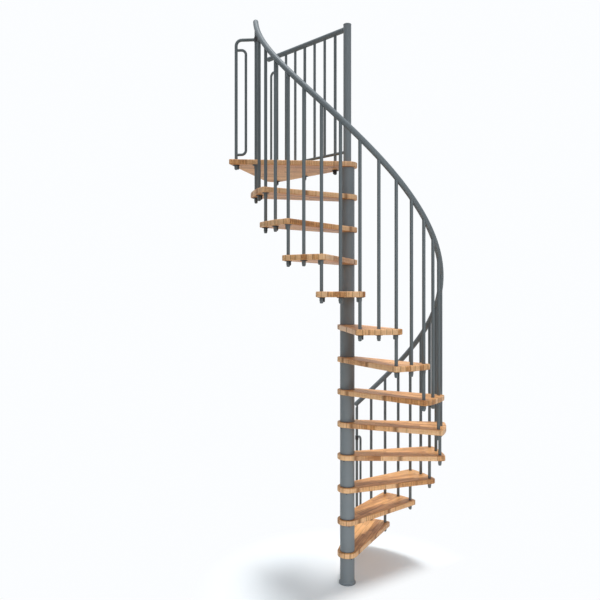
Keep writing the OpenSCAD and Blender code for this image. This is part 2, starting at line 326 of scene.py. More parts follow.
class Coating(Bench):
    """The node tree of a material."""

    def __init__(self, name: str) -> None:
        """Starts an empty material.

        Args:
            name: Name of the material.
        """
        self.material = bpy.data.materials.new(name)
        self.material.use_nodes = True
        super().__init__(self.material.node_tree)
        self.outlet = self.tree.nodes["Material Output"]
        self.tree.nodes.remove(self.tree.nodes["Principled BSDF"])

    def surface(self, sockets: Mapping[Key, Operand]) -> Wire:
        """Adds the Principled shader."""
        return self.node("ShaderNodeBsdfPrincipled", sockets=sockets)

    def relief(self, height: Wire, depth: float) -> Wire:
        """Bumped normal from a height between 0 and 1 and its depth in metres."""
        return self.node("ShaderNodeBump", sockets={"Height": height, "Distance": depth})

    def close(self, shader: Wire) -> bpy.types.Material:
        """Links the shader to the outlet and gives the material."""
        self.tree.links.new(shader.socket, self.outlet.inputs["Surface"])
        return self.material


class Rule(Bench):
    """A Geometry Nodes tree with named inputs, which makes plain meshes."""

    def __init__(self, name: str) -> None:
        """Starts a tree with one geometry in and one out.

        Args:
            name: Name of the tree.
        """
        tree = bpy.data.node_groups.new(name, "GeometryNodeTree")
        super().__init__(tree)
        for direction in ("INPUT", "OUTPUT"):
            tree.interface.new_socket("Geometry", in_out=direction, socket_type="NodeSocketGeometry")
        self.entry = tree.nodes.new("NodeGroupInput")
        self.exit = tree.nodes.new("NodeGroupOutput")
        self.identifiers: dict[str, str] = {}

    @property
    def blank(self) -> Wire:
        """The geometry that comes in."""
        return Wire(self, self.entry.outputs["Geometry"])

    def size(self, name: str, kind: str = "Float") -> Wire:
        """Adds a named input.

        Args:
            name: Name of the input.
            kind: Type of its socket.

        Returns:
            The input as a wire.
        """
        item = self.tree.interface.new_socket(name, in_out="INPUT", socket_type="NodeSocket" + kind)
        self.identifiers[name] = item.identifier
        return Wire(self, self.entry.outputs[name])

    def close(self, geometry: Wire) -> None:
        """Realizes the instances, sets the material and ends the tree.

        Args:
            geometry: What the tree has made.
        """
        finish = self.size("Finish", "Material")
        whole = self.node("GeometryNodeRealizeInstances", sockets={"Geometry": geometry})
        dressed = self.node("GeometryNodeSetMaterial", sockets={"Geometry": whole, "Material": finish})
        self.tree.links.new(dressed.socket, self.exit.inputs["Geometry"])

    def make(self, name: str, blank: bpy.types.Mesh, sizes: Mapping[str, object]) -> bpy.types.Object:
        """Runs the tree once.

        Args:
            name: Name of the piece.
            blank: Mesh that goes in.
            sizes: Values of the named inputs.

        Returns:
            A new object with the result as its plain mesh.
        """
        piece = add_object(name, blank)
        modifier = piece.modifiers.new("rule", "NODES")
        modifier.node_group = self.tree
        for label, value in sizes.items():
            modifier[self.identifiers[label]] = value
        graph = bpy.context.evaluated_depsgraph_get()
        mesh = bpy.data.meshes.new_from_object(piece.evaluated_get(graph), depsgraph=graph)
        piece.modifiers.remove(modifier)
        mesh.name = name
        piece.data = mesh
        return piece


@dataclass(frozen=True)
class PowderCoat:
    """Satin powder coating on steel: a faintly cloudy tone, a fine orange peel and, where it has a pitch,
    painted shade lines at the foot of each sleeve.
    """

    name: str
    colour: Colour
    cloud_share: float = 0.05
    cloud_scale: float = 5.0
    cloud_detail: float = 3.0
    peel_scale: float = 420.0
    peel_detail: float = 1.0
    peel_depth: float = 0.00004
    peel_mix: float = 0.25
    mix_range: Span = (0.3, 0.7)
    roughness: Span = (0.50, 0.62)
    shade_line_pitch: float = 0.0
    shade_line_top: float = 0.0
    shade_line_clear: float = 0.02
    shade_line_height: float = 0.006
    shade_line_tone: float = 0.30
    shade_line_share: float = 0.85

    def tint(self, factor: float) -> tuple[float, float, float, float]:
        """The paint's colour times a factor."""
        return rgba(tuple(c * factor for c in self.colour))

    def painted_shade_lines(self, coat: Coating, place: Wire) -> Wire:
        """Mask of the painted shade lines, one above each whole pitch, where a sleeve sits on a tread.

        Args:
            coat: The material under construction.
            place: Object coordinates.

        Returns:
            1 in a painted shade line and 0 elsewhere, and 0 above the highest line.
        """
        z = coat.node("ShaderNodeSeparateXYZ", sockets={0: place}, out="Z")
        last = self.shade_line_top + self.shade_line_clear
        below = 1 - z.fade(last, last + self.shade_line_clear)
        return (1 - (z % self.shade_line_pitch).fade(0.0, self.shade_line_height)) * below

    def material(self) -> bpy.types.Material:
        """Makes the material.

        Returns:
            The paint, with painted shade lines where it has a pitch for them.
        """
        coat = Coating(self.name)
        place = coat.node("ShaderNodeTexCoord", out="Object")
        cloud = coat.cloud(place, self.cloud_scale, self.cloud_detail)
        peel = coat.cloud(place, self.peel_scale, self.peel_detail)
        share = (cloud * (1 - self.peel_mix) + peel * self.peel_mix).fade(*self.mix_range)
        paint = coat.blend(share, self.tint(1 - self.cloud_share), self.tint(1 + self.cloud_share))
        # Painted shade: a dark line at the foot of each sleeve, standing in for the contact shadow where
        # it sits on the tread.
        if self.shade_line_pitch:
            painted_shade_lines = self.painted_shade_lines(coat, place) * self.shade_line_share
            paint = coat.blend(painted_shade_lines, paint, self.tint(self.shade_line_tone))
        low, high = self.roughness
        return coat.close(coat.surface({
            "Base Color": paint,
            "Roughness": cloud * (high - low) + low,
            "Normal": coat.relief(peel, self.peel_depth),
        }))


@dataclass(frozen=True)
class Grain:
    """Noise drawn out along the wood: its rates of change, random shifts and share of the shade."""

    rates: Triple
    shifts: Triple
    detail: float
    dark: Span
    weight: float

    def noise(self, coat: Coating, place: Sequence[Wire], draws: Sequence[Operand]) -> Wire:
        """Noise at a place in the wood.

        Args:
            coat: The material under construction.
            place: The three coordinates in the timber.
            draws: Random values that move the noise along each axis.

        Returns:
            A value from 0 to 1.
        """
        axes = zip(place, self.rates, draws, self.shifts)
        moved = coat.vector(*(p * rate + draw * shift for p, rate, draw, shift in axes))
        return coat.cloud(moved, 1.0, self.detail)


@dataclass(frozen=True)
class StaveWood:
    """Oiled beech, glued up from finger-jointed staves."""

    name: str
    thickness: float
    pale: Colour = (0.795, 0.432, 0.174)
    middle: Colour = (0.640, 0.317, 0.110)
    dark: Colour = (0.390, 0.160, 0.048)
    glue: Colour = (0.200, 0.075, 0.025)
    end_grain: Colour = (0.890, 0.605, 0.365)
    stave_width: float = 0.039
    block_length: float = 0.310
    block_seed: float = 17.0
    block_shift: float = 9.0
    block_weight: float = 0.80
    base_lift: float = 0.40
    streak: Grain = Grain((4.0, 70.0, 70.0), (40.0, 30.0, 0.0), 3.0, (0.30, 0.70), 0.55)
    figure: Grain = Grain((9.0, 26.0, 26.0), (50.0, 20.0, 0.0), 2.0, (0.30, 0.70), 0.40)
    fleck: Grain = Grain((55.0, 800.0, 800.0), (0.0, 0.0, 1.0), 1.0, (0.60, 0.72), 0.15)
    tick: Grain = Grain((150.0, 150.0, 6.0), (0.0, 0.0, 7.0), 1.0, (0.35, 0.65), 0.75)
    edge_rise: Span = (0.001, 0.003)
    edge_contrast: float = 0.50
    edge_lift: float = 0.08
    hub_reach: Span = (0.075, 0.20)
    hub_share: float = 0.60
    pale_range: Span = (0.15, 1.0)
    pale_share: float = 0.85
    tick_cover: float = 0.40
    joint_width: float = 0.0020
    edge_joint_extra: float = 0.0015
    joint_share: float = 0.80
    joint_depth: float = 0.0003
    fleck_depth_share: float = 0.20
    roughness: float = 0.40
    streak_roughness: float = 0.14
    joint_roughness: float = 0.20

    def joint(self, place: Wire, length: float, width: Wire) -> Wire:
        """Mask of a joint line at each whole place, from its distance in metres."""
        middle = abs(place % 1.0 - 0.5)
        return 1 - ((0.5 - middle) * length).fade(0.0, width)

    def material(self) -> bpy.types.Material:
        """Makes the material.

        Returns:
            The wood, which reads its place and its piece's number from attributes.
        """
        coat = Coating(self.name)
        timber = coat.node("ShaderNodeAttribute", {"attribute_name": TIMBER_PLACE}, out="Vector")
        piece = coat.node("ShaderNodeAttribute", {"attribute_name": PIECE_NUMBER}, out="Fac")
        x = coat.node("ShaderNodeSeparateXYZ", sockets={0: timber})
        y, z = x.other("Y"), x.other("Z")
        place = (x, y, z)
        across = y / self.stave_width
        stave = math.floor(across)
        along = x / self.block_length + coat.chance(stave, piece, self.block_seed) * self.block_shift
        block = math.floor(along)
        tone = coat.chance(stave, block, piece)
        turn = coat.chance(block, piece, stave)
        streak = self.streak.noise(coat, place, (tone, turn, 0.0))
        figure = self.figure.noise(coat, place, (turn, tone, 0.0))
        fleck = self.fleck.noise(coat, place, (0.0, 0.0, piece)).fade(*self.fleck.dark)
        tick = self.tick.noise(coat, place, (0.0, 0.0, piece)).fade(*self.tick.dark)
        shade = tone * self.block_weight + streak.fade(*self.streak.dark) * self.streak.weight
        shade = shade + figure.fade(*self.figure.dark) * self.figure.weight - self.base_lift
        side = z.fade(*self.edge_rise) * (self.thickness - z).fade(*self.edge_rise)
        edge_tone = (tick - 0.5) * self.tick.weight + (tone - 0.5) * self.edge_contrast - self.edge_lift
        width = side * self.edge_joint_extra + self.joint_width
        stave_joint = self.joint(across, self.stave_width, width)
        joint = stave_joint.most(self.joint(along, self.block_length, width))
        flat = coat.vector(x, y, 0.0)
        reach = coat.node("ShaderNodeVectorMath", {"operation": "LENGTH"}, {0: flat}, "Value")
        hub = (1 - reach.fade(*self.hub_reach)) * self.hub_share
        pale_block = (1 - tone).fade(*self.pale_range) * self.pale_share
        end = side * hub.most(pale_block) * (1 - tick * self.tick_cover)
        stops = [(0.0, self.pale), (0.5, self.middle), (1.0, self.dark)]
        depth = shade + fleck * self.fleck.weight + side * edge_tone
        board = coat.node("ShaderNodeValToRGB", {"stops": stops}, {"Fac": depth})
        wood = coat.blend(end, board, rgba(self.end_grain))
        height = 1 - joint * self.joint_share - fleck * self.fleck_depth_share
        return coat.close(coat.surface({
            "Base Color": coat.blend(joint * self.joint_share, wood, rgba(self.glue)),
            "Roughness": self.roughness + streak * self.streak_roughness + joint * self.joint_roughness,
            "Normal": coat.relief(height, self.joint_depth),
        }))


@dataclass(frozen=True)
class StairPlan:
    """Driving sizes of the stair and the places that follow from them."""

    rise: float = 0.234
    turn: float = 20.8
    start_angle: float = 68.7
    tread_count: int = 12
    sleeve_r: float = 0.0525
    post_r: float = 0.0285
    bore_gap: float = 0.0003
    wood_t: float = 0.036
    edge_r: float = 0.005
    rail_r: float = 0.663
    baluster_r: float = 0.011
    handrail_h: float = 1.071
    plate_t: float = 0.003
    collar_r: float = 0.072
    guard_angle: float = 135.7
    wall_angle: float = 161.5
    wall_reach: float = 0.757
    front_edge: float = 0.018

    @property
    def half_turn(self) -> float:
        """Turn from one baluster to the next."""
        return self.turn / 2

    @property
    def last_baluster(self) -> int:
        """Number of the baluster that stands on the landing."""
        return 2 * self.tread_count

    @property
    def landing_top(self) -> float:
        """Height of the landing's upper face."""
        return self.rise * (self.tread_count + 1)

    @property
    def baluster_bore_r(self) -> float:
        """Radius of a baluster's hole in the wood."""
        return self.baluster_r + self.bore_gap

    @property
    def post_bore_r(self) -> float:
        """Radius of the centre post's hole in the wood."""
        return self.post_r + self.bore_gap

    @property
    def front_normal(self) -> float:
        """Direction square to the landing's front edge."""
        lean = math.asin((self.collar_r - self.front_edge) / self.rail_r)
        return self.baluster_angle(self.last_baluster) - math.degrees(lean) + 90

    def tread_angle(self, number: int) -> float:
        """Direction of the middle of a tread, counted from 1."""
        return self.start_angle - (number - 1) * self.turn

    def baluster_angle(self, number: float) -> float:
        """Direction of a baluster, counted from the start post in half treads."""
        return self.start_angle + self.half_turn - number * self.half_turn

    def underside(self, number: int) -> float:
        """Height of the lower face of a tread, the landing being the one after the last."""
        return number * self.rise - self.wood_t


@dataclass
class EasedPlate:
    """Flat piece of wood on z = 0 with rounded edges and drilled holes."""

    thickness: float
    edge_r: float
    outline: Outline
    holes: Sequence[tuple[Point, float]]
    edge_steps: int = 5
    hole_steps: int = 40
    flat_rim: float = 0.0006
    countersink: float = 0.0006
    crease: float = 30.0

    def levels(self) -> list[tuple[float, float]]:
        """Rings of the rounded rim, from the lower face to the upper one.

        Returns:
            Inset and height of each ring.
        """
        low = []
        for step in range(self.edge_steps + 1):
            angle = math.pi / 2 * step / self.edge_steps
            low.append((self.edge_r * (1 - math.sin(angle)), self.edge_r * (1 - math.cos(angle))))
        low.insert(0, (self.edge_r + self.flat_rim, 0.0))
        return low + [(inset, self.thickness - z) for inset, z in reversed(low)]

    def hole_rings(self, centre: Point, radius: float) -> list[list[Triple]]:
        """Rings of a hole, from the lower face to the upper one.

        Args:
            centre: Centre of the hole.
            radius: Radius of the hole.

        Returns:
            Points of each ring.
        """
        c, top = self.countersink, self.thickness
        rings = []
        for r, z in ((radius + c, 0.0), (radius, c), (radius, top - c), (radius + c, top)):
            rings.append([(x, y, z) for x, y in arc(centre, r, 0.0, 360.0, self.hole_steps, 1)])
        return rings

    @staticmethod
    def loft(bm: bmesh.types.BMesh, rings: Sequence[Sequence[Triple]]) -> list[list[bmesh.types.BMEdge]]:
        """Joins rings by quads.

        Args:
            bm: Mesh that the rings go into.
            rings: Points of each ring, as many in each.

        Returns:
            The edges of the first and of the last ring.
        """
        rows = [[bm.verts.new(point) for point in ring] for ring in rings]
        count = len(rows[0])
        for low, high in zip(rows, rows[1:]):
            for i in range(count):
                k = (i + 1) % count
                bm.faces.new((low[i], low[k], high[k], high[i]))
        ends = (rows[0], rows[-1])
        return [[bm.edges.get((row[i - 1], row[i])) for i in range(count)] for row in ends]

    def mesh(self, name: str) -> bpy.types.Mesh:
        """Makes the closed mesh.

        Args:
            name: Name of the mesh.

        Returns:
            The plate, with smooth rounded edges and sharp rims.
        """
        bm = bmesh.new()
        rim = [[(x, y, z) for x, y in self.outline(inset)] for inset, z in self.levels()]
        rims = [self.loft(bm, rim)]
        rims += [self.loft(bm, self.hole_rings(centre, radius)) for centre, radius in self.holes]
        for face in range(2):
            edges = [edge for rim in rims for edge in rim[face]]
            bmesh.ops.triangle_fill(bm, use_beauty=True, edges=edges)
        bmesh.ops.recalc_face_normals(bm, faces=bm.faces)
        for face in bm.faces:
            face.smooth = True
        for edge in bm.edges:
            edge.smooth = edge.calc_face_angle(0.0) < math.radians(self.crease)
        return mesh_from(bm, name)


def show(piece: bpy.types.Object, slot: Slot, *nodes: str) -> None:
    """Puts a piece on the stair's body.

    Args:
        piece: The finished piece.
        slot: Material slot that it takes its finish from.
        nodes: Solids that it stands for.
    """
    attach(piece, BODY)
    if nodes:
        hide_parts(*nodes)
    LOG.info("%s: %d faces, %s", piece.name, len(piece.data.polygons), slot.value)


@dataclass
class TimberWork:
    """The treads and the landing."""

    plan: StairPlan
    finish: bpy.types.Material
    tread_r: float = 0.700
    tread_edge: float = 0.033
    tread_corner_r: float = 0.022
    back_edge: float = 0.037
    back_corner_r: float = 0.080
    tip_corner_r: float = 0.010
    neck_r: float = 0.025
    guard_start_reach: float = 0.117
    guard_end_inset: float = 0.0986
    guard_gaps: int = 6
    guard_post_step: int = 3
    exit_wall_inset: float = 0.033
    exit_front_inset: float = 0.042
    long_steps: int = 36
    short_steps: int = 10

    def tread_outline(self, inset: float) -> list[Point]:
        """Plan of a tread along +X: collar, sides tangent to it and outer arc.

        Args:
            inset: How far the plan is drawn in.

        Returns:
            The points in order.
        """
        plan = self.plan
        lean = math.degrees(math.asin((plan.collar_r - self.tread_edge) / plan.rail_r))
        side = plan.half_turn - lean + 90
        reach = self.tread_r - self.tread_corner_r
        hub = side - math.degrees(math.acos((plan.collar_r - self.tread_corner_r) / reach))
        bend = self.tread_corner_r - inset
        return [
            *arc((0, 0), plan.collar_r - inset, side, 360 - side, self.long_steps),
            *arc(polar(reach, -hub), bend, -side, -hub, self.short_steps),
            *arc((0, 0), self.tread_r - inset, -hub, hub, self.long_steps, 1),
            *arc(polar(reach, hub), bend, hub, side, self.short_steps, 1),
        ]

    def landing_outline(self, inset: float) -> list[Point]:
        """Plan of the landing: collar, neck, back, wall edge, tip and front.

        Args:
            inset: How far the plan is drawn in.

        Returns:
            The points in order.
        """
        plan = self.plan
        back_normal = plan.guard_angle - 90
        neck_reach = plan.collar_r + self.neck_r
        swing = back_normal + math.degrees(math.acos((self.back_edge + self.neck_r) / neck_reach))
        front, back, wall = plan.collar_r - inset, self.back_edge - inset, plan.wall_reach - inset
        bend, tip = self.back_corner_r - inset, self.tip_corner_r - inset
        back_pivot = meet(back_normal, back - bend, plan.wall_angle, wall - bend)
        tip_pivot = meet(plan.wall_angle, wall - tip, plan.front_normal, front - tip)
        neck_pivot, neck = polar(neck_reach, swing), self.neck_r + inset
        return [
            *arc((0, 0), front, plan.front_normal, swing, self.long_steps),
            *arc(neck_pivot, neck, swing + 180, back_normal + 180, self.short_steps, 1),
            *arc(back_pivot, bend, back_normal, plan.wall_angle, self.long_steps),
            *arc(tip_pivot, tip, plan.wall_angle - 360, plan.front_normal, self.short_steps),
        ]

    @property
    def guard_pitch(self) -> float:
        """Distance from one guard bar to the next.

        Returns:
            The distance in metres.
        """
        plan = self.plan
        wall = plan.wall_reach / math.cos(math.radians(plan.wall_angle - plan.guard_angle))
        return (wall - self.guard_end_inset - self.guard_start_reach) / self.guard_gaps

    def exit_post(self) -> Point:
        """Place of the exit post on the landing.

        Returns:
            Its centre in plan.
        """
        plan = self.plan
        wall = plan.wall_reach - self.exit_wall_inset
        return meet(plan.wall_angle, wall, plan.front_normal, plan.collar_r - self.exit_front_inset)

    def guard_posts(self) -> list[Point]:
        """Places of the three guard posts on the landing.

        Returns:
            Their centres in plan, from the column outwards.
        """
        start, pitch = self.guard_start_reach, self.guard_pitch
        bars = range(0, self.guard_gaps + 1, self.guard_post_step)
        return [polar(start + i * pitch, self.plan.guard_angle) for i in bars]

    def blank(self, name: str, outline: Outline, posts: Sequence[Point]) -> bpy.types.Mesh:
        """A piece of wood on z = 0, bored for the column and its posts.

        Args:
            name: Name of the mesh.
            outline: Plan of the piece for an inset.
            posts: Places of the posts that pass through it.

        Returns:
            The closed mesh.
        """
        plan = self.plan
        holes = [((0.0, 0.0), plan.post_bore_r), *((post, plan.baluster_bore_r) for post in posts)]
        return EasedPlate(plan.wood_t, plan.edge_r, outline, holes).mesh(name)

    def tread_blank(self) -> bpy.types.Mesh:
        """One tread along +X."""
        posts = [polar(self.plan.rail_r, side * self.plan.half_turn) for side in (-1, 0, 1)]
        return self.blank("tread_blank", self.tread_outline, posts)

    def landing_blank(self) -> bpy.types.Mesh:
        """The landing in its own direction.

        Returns:
            The closed mesh.
        """
        plan = self.plan
        last = polar(plan.rail_r, plan.baluster_angle(plan.last_baluster))
        posts = [last, self.exit_post(), *self.guard_posts()]
        return self.blank("landing_blank", self.landing_outline, posts)

    @staticmethod
    def placing_rule() -> Rule:
        """Tree that marks a blank with its place in the timber, then turns and lifts it.

        Returns:
            The finished tree.
        """
        rule = Rule("timber_placing")
        angle = rule.size("Placing angle")
        height = rule.size("Underside height")
        grain = rule.size("Grain angle")
        number = rule.size("Piece number")
        position = rule.node("GeometryNodeInputPosition")
        back = {"Vector": position, "Angle": 0 - grain}
        turned = rule.node("ShaderNodeVectorRotate", {"rotation_type": "Z_AXIS"}, back)
        marked = rule.blank
        marks = ((TIMBER_PLACE, "FLOAT_VECTOR", turned), (PIECE_NUMBER, "FLOAT", number))
        for name, kind, value in marks:
            marked = rule.node(
                "GeometryNodeStoreNamedAttribute",
                {"data_type": kind, "domain": "POINT"},
                {"Geometry": marked, "Name": name, "Value": value},
            )
        euler = rule.vector(0.0, 0.0, angle)
        rule.close(rule.node("GeometryNodeTransform", sockets={
            "Geometry": marked,
            "Translation": rule.vector(0.0, 0.0, height),
            "Rotation": rule.node("FunctionNodeEulerToRotation", sockets={"Euler": euler}),
        }))
        return rule

    def build(self) -> None:
        """Makes the treads and the landing in their places."""
        rule = self.placing_rule()
        blank = self.tread_blank()
        for number in range(1, self.plan.tread_count + 1):
            name = f"tread_{number:02d}"
            piece = rule.make(name + "_timber", blank, {
                "Placing angle": math.radians(self.plan.tread_angle(number)),
                "Underside height": self.plan.underside(number),
                "Grain angle": 0.0,
                "Piece number": float(number),
                "Finish": self.finish,
            })
            show(piece, Slot.WOOD, name)
        number = self.plan.tread_count + 1
        piece = rule.make("landing_timber", self.landing_blank(), {
            "Placing angle": 0.0,
            "Underside height": self.plan.underside(number),
            "Grain angle": math.radians(self.plan.front_normal - 90),
            "Piece number": float(number),
            "Finish": self.finish,
        })
        show(piece, Slot.WOOD, "landing_platform")


@dataclass
class Handrail:
    """Helical tube over the balusters, with a rounded nose at each end."""

    plan: StairPlan
    finish: bpy.types.Material
    tube_r: float = 0.019
    nose_r: float = 0.0095
    start_reach: float = 0.020
    end_reach: float = 0.062
    rings: int = 420
    sides: int = 32
    nose_rings: int = 6

    @staticmethod
    def rule() -> Rule:
        """Tree that bends a line into the helix and sweeps the tube along it.

        Returns:
            The finished tree.
        """
        rule = Rule("handrail_helix")
        reach = rule.size("Helix radius")
        angle = rule.size("Start angle")
        turn = rule.size("Turn of a step")
        base = rule.size("Start height")
        rise = rule.size("Rise of a step")
        first = rule.size("First step")
        last = rule.size("Last step")
        run = rule.size("Length of a step")
        tube = rule.size("Tube radius")
        nose = rule.size("Nose radius")
        rings = rule.size("Rings", "Int")
        nose_rings = rule.size("Nose rings", "Int")
        sides = rule.size("Sides", "Int")
        index = rule.node("GeometryNodeInputIndex")
        top = rings - 1
        low = (1 - (index / nose_rings).within(0.0, 1.0)) * (math.pi / 2)
        high = (1 - ((top - index) / nose_rings).within(0.0, 1.0)) * (math.pi / 2)
        share = ((index - nose_rings) / (top - nose_rings * 2)).within(0.0, 1.0)
        step = first + (last - first) * share + (high.sin() - low.sin()) * nose / run
        place = angle + step * turn
        line = rule.node("GeometryNodeMeshLine", sockets={"Count": rings})
        helix = rule.node("GeometryNodeSetPosition", sockets={
            "Geometry": line,
            "Position": rule.vector(place.cos() * reach, place.sin() * reach, base + step * rise),
        })
        path = rule.node("GeometryNodeMeshToCurve", sockets={"Mesh": helix})
        circle = {"Resolution": sides, "Radius": tube}
        profile = rule.node("GeometryNodeCurvePrimitiveCircle", sockets=circle)
        swept = rule.node("GeometryNodeCurveToMesh", sockets={
            "Curve": path,
            "Profile Curve": profile,
            "Scale": 1 - (2 - low.cos() - high.cos()) * nose / tube,
            "Fill Caps": True,
        })
        rule.close(rule.node("GeometryNodeSetShadeSmooth", sockets={"Geometry": swept}))
        return rule

    def build(self) -> None:
        """Makes the handrail."""
        plan = self.plan
        arc_run = plan.rail_r * math.radians(plan.half_turn)
        run = math.hypot(arc_run, plan.rise / 2)
        blank = bpy.data.meshes.new("handrail_blank")
        piece = self.rule().make("handrail_tube", blank, {
            "Helix radius": plan.rail_r,
            "Start angle": math.radians(plan.baluster_angle(0)),
            "Turn of a step": -math.radians(plan.half_turn),
            "Start height": plan.rise / 2 + plan.handrail_h,
            "Rise of a step": plan.rise / 2,
            "First step": (self.nose_r - self.start_reach) / run,
            "Last step": plan.last_baluster + (self.end_reach - self.nose_r) / run,
            "Length of a step": run,
            "Tube radius": self.tube_r,
            "Nose radius": self.nose_r,
            "Rings": self.rings,
            "Nose rings": self.nose_rings,
            "Sides": self.sides,
            "Finish": self.finish,
        })
        show(piece, Slot.HANDRAIL, "handrail")


@dataclass
class ScrewRow:
    """Screws at fixings that follow one rule: a helix round the column, or a straight line."""

    name: str
    fixings: int
    screws_each: int
    first_reach: float
    first_angle: float
    first_height: float
    facing: Facing
    reach_step: float = 0.0
    angle_step: float = 0.0
    height_step: float = 0.0
    spread: float = 0.0
    spread_angle: float = 0.0


@dataclass
class Screws:
    """The small screws: one at the top of each sleeve and two in each bracket plate."""

    plan: StairPlan
    timber: TimberWork
    finish: bpy.types.Material
    head_r: float = 0.0036
    head_h: float = 0.0016
    socket_r: float = 0.0016
    socket_depth: float = 0.0012
    sunk: float = 0.0006
    sides: int = 18
    dome: tuple[Span, ...] = ((1.0, 0.4), (0.86, 0.8), (0.62, 1.0))
    sleeve_drop: float = 0.010
    sleeve_turn: float = -128.0
    plate_spread: float = 0.018

    def head(self) -> bpy.types.Mesh:
        """One domed head with a hexagon socket, facing +Z from z = 0.

        Returns:
            The closed mesh.
        """
        profile = [(1.0, -self.sunk), *((share, level * self.head_h) for share, level in self.dome)]
        sections = [[(self.head_r * share, z)] * self.sides for share, z in profile]
        turns = [360.0 * i / self.sides for i in range(self.sides)]
        leans = [math.radians(turn % HEXAGON_SIDE - HEXAGON_SIDE / 2) for turn in turns]
        hexagon = [self.socket_r / math.cos(lean) for lean in leans]
        for z in (self.head_h, self.head_h - self.socket_depth):
            sections.append([(r, z) for r in hexagon])
        rings = [[(*polar(r, turn), z) for (r, z), turn in zip(ring, turns)] for ring in sections]
        bm = bmesh.new()
        for rim in EasedPlate.loft(bm, rings):
            bmesh.ops.contextual_create(bm, geom=rim)
        bmesh.ops.recalc_face_normals(bm, faces=bm.faces)
        return mesh_from(bm, "screw_head")

    @staticmethod
    def rule() -> Rule:
        """Tree that sets heads at the fixings of a row.

        Returns:
            The finished tree.
        """
        rule = Rule("screw_row")
        fixings = rule.size("Fixings", "Int")
        each = rule.size("Screws at a fixing", "Int")
        reach = rule.size("First reach")
        angle = rule.size("First angle")
        height = rule.size("First height")
        reach_step = rule.size("Reach step")
        angle_step = rule.size("Angle step")
        height_step = rule.size("Height step")
        spread = rule.size("Spread")
        spread_angle = rule.size("Spread angle")
        facing = rule.size("Facing", "Vector")
        index = rule.node("GeometryNodeInputIndex")
        fixing = math.floor(index / each + WHOLE_MARGIN)
        around = (index % each) * (2 * math.pi) / each
        place = angle + angle_step * fixing
        side = place + spread_angle + around
        far = reach + reach_step * fixing
        position = rule.vector(
            place.cos() * far + side.cos() * spread,
            place.sin() * far + side.sin() * spread,
            height + height_step * fixing,
        )
        spots = {"Count": fixings * each, "Position": position}
        points = rule.node("GeometryNodePoints", sockets=spots)
        tilt = rule.node("ShaderNodeSeparateXYZ", sockets={0: facing})
        euler = rule.vector(tilt, tilt.other("Y"), place)
        rule.close(rule.node("GeometryNodeInstanceOnPoints", sockets={
            "Points": points,
            "Instance": rule.blank,
            "Rotation": rule.node("FunctionNodeEulerToRotation", sockets={"Euler": euler}),
        }))
        return rule

    def rows(self) -> list[ScrewRow]:
        """The rows of screws.

        Returns:
            Sleeves first, then the plates from the start post to the exit post.
        """
        plan = self.plan
        count = plan.tread_count
        exit_x, exit_y = self.timber.exit_post()
        last_x, last_y = polar(plan.rail_r, plan.baluster_angle(plan.last_baluster))
        exit_angle = math.degrees(math.atan2(exit_y, exit_x))
        arm_angle = math.degrees(math.atan2(last_y - exit_y, last_x - exit_x))
        landing_plate = plan.underside(count + 1) - plan.plate_t
        plate = {"screws_each": 2, "facing": Facing.DOWN, "spread": self.plate_spread}
        climb = {"angle_step": -plan.turn, "height_step": plan.rise}

        def at_rail(name: str, fixings: int, baluster: int, tread: int, spread: float) -> ScrewRow:
            """Row in the plates of balusters.

            Args:
                name: Name of the row.
                fixings: Number of plates.
                baluster: Number of the first plate's baluster.
                tread: Number of the first plate's tread.
                spread: Direction of the two screws from the baluster.

            Returns:
                The row.
            """
            return ScrewRow(
                name, fixings, first_reach=plan.rail_r, first_angle=plan.baluster_angle(baluster),
                first_height=plan.underside(tread) - plan.plate_t, spread_angle=spread,
                **plate, **climb,
            )

        return [
            ScrewRow(
                "sleeve_screws", count + 1, 1, plan.sleeve_r,
                plan.tread_angle(1) + self.sleeve_turn,
                plan.underside(1) - self.sleeve_drop, Facing.OUTWARD, **climb,
            ),
            at_rail("start_bracket_screws", 1, 0, 1, 0.0),
            at_rail("middle_bracket_screws", count, 1, 1, 90.0),
            at_rail("corner_foot_bracket_screws", count, 2, 1, 0.0),
            at_rail("corner_ring_bracket_screws", count, 2, 2, 0.0),
            ScrewRow(
                "guard_bracket_screws", 3, first_reach=self.timber.guard_start_reach,
                first_angle=plan.guard_angle, first_height=landing_plate,
                reach_step=self.timber.guard_post_step * self.timber.guard_pitch, **plate,
            ),
            ScrewRow(
                "exit_bracket_screws", 1, first_reach=math.hypot(exit_x, exit_y),
                first_angle=exit_angle, first_height=landing_plate,
                spread_angle=arm_angle + 90 - exit_angle, **plate,
            ),
        ]

    def build(self) -> None:
        """Makes each row of screws."""
        rule = self.rule()
        head = self.head()
        for row in self.rows():
            piece = rule.make(row.name, head, {
                "Fixings": row.fixings,
                "Screws at a fixing": row.screws_each,
                "First reach": row.first_reach,
                "First angle": math.radians(row.first_angle),
                "First height": row.first_height,
                "Reach step": row.reach_step,
                "Angle step": math.radians(row.angle_step),
                "Height step": row.height_step,
                "Spread": row.spread,
                "Spread angle": math.radians(row.spread_angle),
                "Facing": (*row.facing.value, 0.0),
                "Finish": self.finish,
            })
            show(piece, Slot.BRACKET)


@dataclass
class SteelWork:
    """The steel solids, which keep their shape and get their paint here."""

    paints: Mapping[Slot, bpy.types.Material]

    def dress(self) -> None:
        """Paints each solid by its slot in the record."""
        for name, solid in sorted(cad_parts.items()):
            slot = Slot(solid.data.materials[0].name)
            solid.data.materials[0] = self.paints[slot]
            LOG.info("%s: %s", name, slot.value)


@dataclass(frozen=True)
class SoftBox:
    """A soft box lamp, which the camera doesn't see."""

    name: str
    power: float
    size: Span
    place: Triple
    turn: Triple

    def build(self) -> None:
        """Hangs the lamp in its place."""
        data = bpy.data.lights.new(self.name, "AREA")
        data.shape = "RECTANGLE"
        data.energy = self.power
        data.size, data.size_y = self.size
        box = add_object(self.name, data)
        box.location = self.place
        box.rotation_euler = [math.radians(a) for a in self.turn]
        box.visible_camera = False


